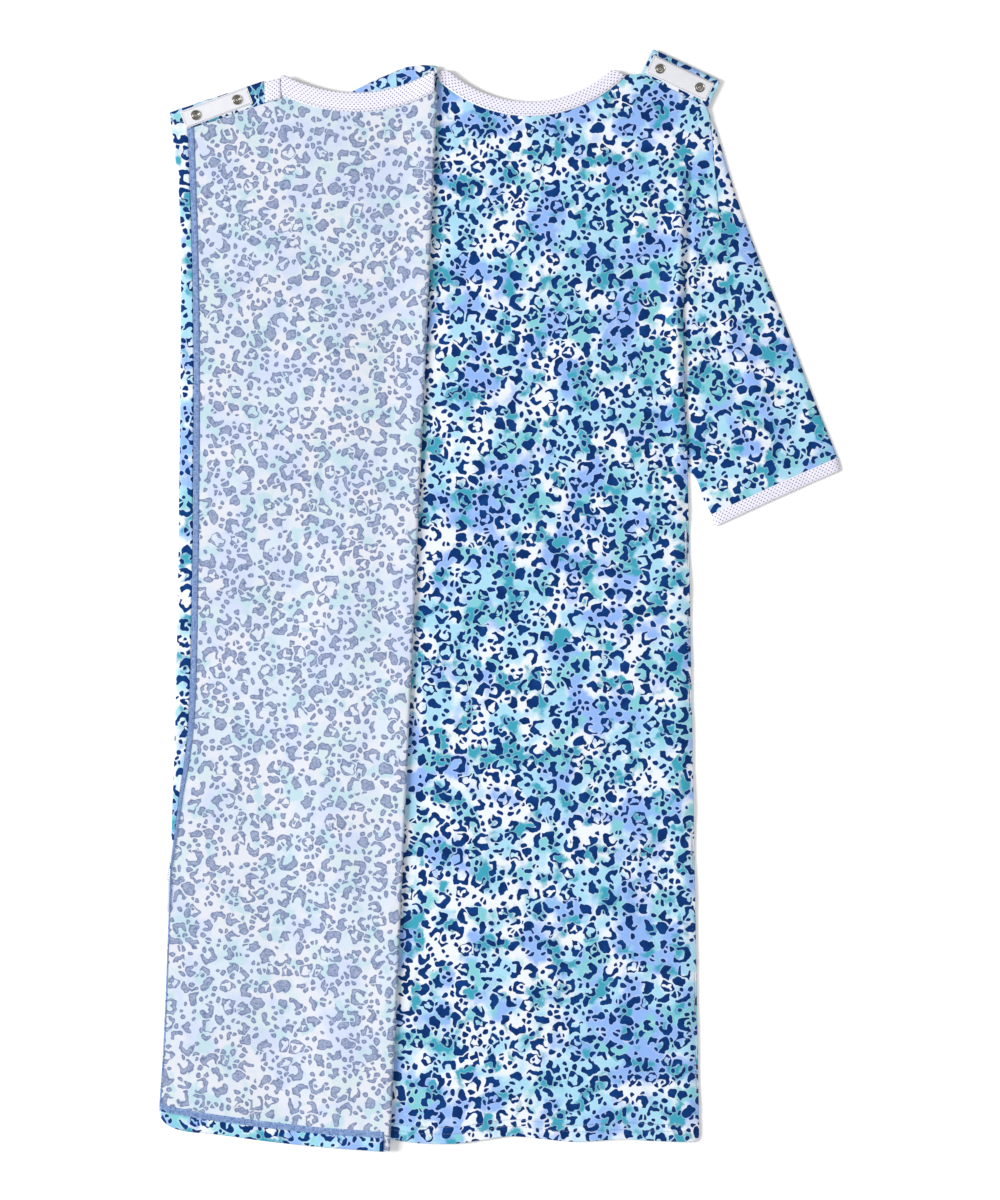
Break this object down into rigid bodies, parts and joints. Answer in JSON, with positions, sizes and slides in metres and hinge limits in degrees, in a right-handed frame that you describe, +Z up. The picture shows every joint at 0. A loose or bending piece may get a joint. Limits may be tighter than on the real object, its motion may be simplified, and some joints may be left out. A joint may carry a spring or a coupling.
{
  "type": "patient gown",
  "caption": "Open-back patient gown in printed jersey, laid flat, with a snap-closed over panel folded open and three-quarter sleeves.",
  "frame": {"origin": "centre of the gown's outline, on the surface that the gown lies on", "axes": "+Y from the hem towards the neck, +Z up from the surface, +X towards the closed shoulder with the tab"},
  "size_m": [0.7154, 1.1554, 0.01],
  "materials": {
    "print_jersey": "fine printed cotton jersey, blue and turquoise leopard spots on off-white",
    "dotted_binding": "white jersey binding with small blue-violet dots",
    "snap_tape": "off-white woven snap tape",
    "thread": "denim-blue overlock and coverstitch thread",
    "snap_metal": "nickel-plated ring snaps"
  },
  "bodies": {
    "root": {"front_panel": "print_jersey", "front_neck_binding": "dotted_binding", "front_hem": "print_jersey", "under_panel": "print_jersey", "under_neck_binding": "dotted_binding", "under_hem": "print_jersey", "under_edge_hem": "print_jersey", "under_hem_stitching": "thread", "over_panel_base": "print_jersey", "over_base_hem": "print_jersey", "over_panel_fold": "print_jersey", "right_side_seam": "thread", "left_side_seam": "thread", "right_shoulder_seam": "thread", "left_shoulder_seam": "thread", "left_sleeve": "print_jersey", "left_cuff_binding": "dotted_binding", "left_armhole_seam": "thread", "shoulder_tab": "print_jersey", "tab_snap_tape": "snap_tape", "tab_studs": "snap_metal", "tab_prong_rings": "snap_metal", "left_stud_tape": "snap_tape", "left_studs": "snap_metal", "left_stud_prong_rings": "snap_metal", "under_snap_tape": "snap_tape", "under_sockets": "snap_metal", "under_socket_springs": "snap_metal", "under_prong_rings": "snap_metal"},
    "flap": {"over_panel_flap": "print_jersey", "flap_neck_binding": "dotted_binding", "flap_binding_end": "dotted_binding", "flap_edge_hem": "print_jersey", "flap_bottom_hem": "print_jersey", "flap_edge_stitching": "thread", "flap_bottom_stitching": "thread", "flap_shoulder_facing": "print_jersey", "flap_snap_tape": "snap_tape", "flap_sockets": "snap_metal", "flap_socket_springs": "snap_metal", "flap_prong_rings": "snap_metal"},
    "sleeve": {"right_sleeve": "print_jersey", "right_cuff_binding": "dotted_binding", "right_armhole_seam": "thread"}
  },
  "joints": [
    {"name": "flap_fold", "type": "hinge", "parent": "root", "child": "flap", "pos_m": [-0.0667, 0.561, 0.009], "axis": [0.045, 0.999, 0], "range_deg": [0, 179]},
    {"name": "sleeve_fold", "type": "hinge", "parent": "root", "child": "sleeve", "pos_m": [0.212, 0.514, 0.01], "axis": [-0.0398, -0.9992, 0], "range_deg": [0, 179]}
  ]
}
